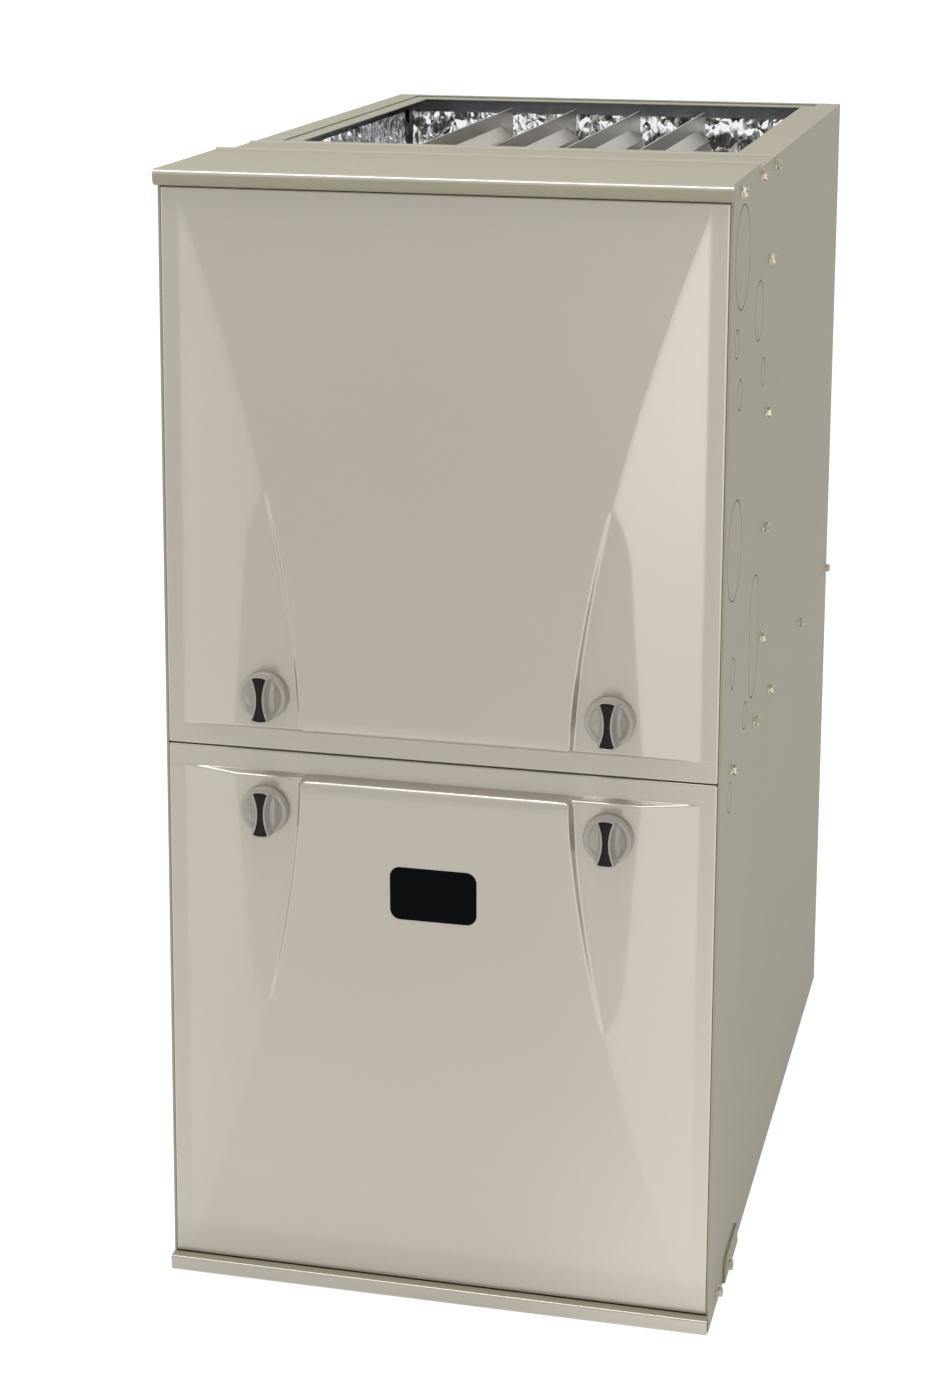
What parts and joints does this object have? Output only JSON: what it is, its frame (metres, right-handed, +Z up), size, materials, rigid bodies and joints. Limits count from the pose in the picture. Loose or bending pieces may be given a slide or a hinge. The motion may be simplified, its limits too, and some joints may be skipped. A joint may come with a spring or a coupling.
{
  "type": "forced air gas furnace",
  "caption": "Upright sheet-metal gas furnace with pressed lift-off doors, turn knobs, dark sight glass, open foil-lined supply duct on top, burners, heat exchanger and blower inside.",
  "frame": {"origin": "centre of the base, on the floor, at the middle of the whole part's width and depth", "axes": "+Z up towards the supply opening, -Y out of the doors, +X to the right as seen from the front"},
  "size_m": [0.4574, 0.7724, 0.915],
  "materials": {
    "casing_paint": "satin",
    "front_paint": "satin",
    "knob_plastic": "satin moulded",
    "dark_window": "gloss",
    "galvanised_sheet": "dull",
    "zinc_screw": "bright",
    "cell_steel": "dull",
    "foil_facing": "bright crinkled foil",
    "coil_metal": "satin",
    "black_plastic": "moulded",
    "black_paint": "satin",
    "white_plastic": "satin",
    "tube_rubber": "matt",
    "red_plastic": "gloss",
    "valve_metal": "cast",
    "ceramic": "matt",
    "board": "satin",
    "transformer_steel": "satin"
  },
  "bodies": {
    "casing": {"left_side_panel": "casing_paint", "right_side_panel": "casing_paint", "rear_panel": "casing_paint", "bottom_panel": "casing_paint", "base_trim": "front_paint", "top_cap": "front_paint", "top_filler_panel": "front_paint", "duct_flange": "front_paint", "blower_shelf": "galvanised_sheet", "cell_panel": "galvanised_sheet", "latch_keepers": "galvanised_sheet", "base_brackets": "casing_paint", "casing_screws": "zinc_screw", "left_insulation": "foil_facing", "right_insulation": "foil_facing", "rear_insulation": "foil_facing", "heat_exchanger_cell_1": "cell_steel", "heat_exchanger_cell_2": "cell_steel", "heat_exchanger_cell_3": "cell_steel", "heat_exchanger_cell_4": "cell_steel", "coupling_box": "cell_steel", "condensing_coil": "coil_metal", "collector_box": "black_plastic", "inducer_housing": "black_plastic", "inducer_motor": "black_paint", "vent_elbow": "white_plastic", "condensate_trap": "black_plastic", "pressure_switch": "black_plastic", "pressure_tube": "tube_rubber", "burner_bracket": "galvanised_sheet", "burner_1": "cell_steel", "burner_2": "cell_steel", "burner_3": "cell_steel", "burner_4": "cell_steel", "gas_manifold": "black_paint", "gas_valve": "valve_metal", "hot_surface_igniter": "ceramic", "flame_sensor": "ceramic", "rollout_switch": "black_plastic", "blower_housing": "galvanised_sheet", "blower_motor": "black_paint", "motor_mount": "galvanised_sheet", "control_box": "galvanised_sheet", "control_board": "board", "transformer": "transformer_steel", "junction_box": "galvanised_sheet", "door_switch": "black_plastic"},
    "upper_door": {"upper_door": "front_paint"},
    "lower_door": {"lower_door": "front_paint", "sight_glass": "dark_window"},
    "upper_left_latch": {"upper_left_knob": "knob_plastic"},
    "upper_right_latch": {"upper_right_knob": "knob_plastic"},
    "lower_left_latch": {"lower_left_knob": "knob_plastic"},
    "lower_right_latch": {"lower_right_knob": "knob_plastic"},
    "blower_rotor": {"blower_wheel": "galvanised_sheet", "blower_shaft": "galvanised_sheet"},
    "inducer_rotor": {"inducer_wheel": "galvanised_sheet"},
    "valve_lever": {"gas_valve_switch": "red_plastic"},
    "reset_button": {"rollout_reset_button": "red_plastic"},
    "switch_plunger": {"door_switch_plunger": "white_plastic"}
  },
  "joints": [
    {"name": "upper_door_slide", "type": "slide", "parent": "casing", "child": "upper_door", "axis": [0, -1, 0], "range_m": [0, 0.25]},
    {"name": "lower_door_slide", "type": "slide", "parent": "casing", "child": "lower_door", "axis": [0, -1, 0], "range_m": [0, 0.25]},
    {"name": "upper_left_knob_turn", "type": "hinge", "parent": "upper_door", "child": "upper_left_latch", "pos_m": [-0.138, -0.36385, 0.501], "axis": [0, -1, 0], "range_deg": [0, 90]},
    {"name": "upper_right_knob_turn", "type": "hinge", "parent": "upper_door", "child": "upper_right_latch", "pos_m": [0.138, -0.36385, 0.501], "axis": [0, -1, 0], "range_deg": [0, 90]},
    {"name": "lower_left_knob_turn", "type": "hinge", "parent": "lower_door", "child": "lower_left_latch", "pos_m": [-0.138, -0.36385, 0.407], "axis": [0, -1, 0], "range_deg": [0, 90]},
    {"name": "lower_right_knob_turn", "type": "hinge", "parent": "lower_door", "child": "lower_right_latch", "pos_m": [0.138, -0.36385, 0.407], "axis": [0, -1, 0], "range_deg": [0, 90]},
    {"name": "blower_spin", "type": "hinge", "parent": "casing", "child": "blower_rotor", "pos_m": [0, 0.06615, 0.215], "axis": [1, 0, 0], "continuous": true},
    {"name": "inducer_spin", "type": "hinge", "parent": "casing", "child": "inducer_rotor", "pos_m": [0.03, -0.20285, 0.548], "axis": [0, 1, 0], "continuous": true},
    {"name": "gas_switch_slide", "type": "slide", "parent": "casing", "child": "valve_lever", "axis": [1, 0, 0], "range_m": [0, 0.009]},
    {"name": "rollout_reset_press", "type": "slide", "parent": "casing", "child": "reset_button", "axis": [0, 1, 0], "range_m": [0, 0.0025], "stiffness_N_per_m": 300},
    {"name": "door_switch_press", "type": "slide", "parent": "casing", "child": "switch_plunger", "axis": [0, -1, 0], "range_m": [0, 0.004]}
  ],
  "couplings": [
    {"joint": "door_switch_press", "follows": "lower_door_slide", "ratio": 0.016}
  ]
}
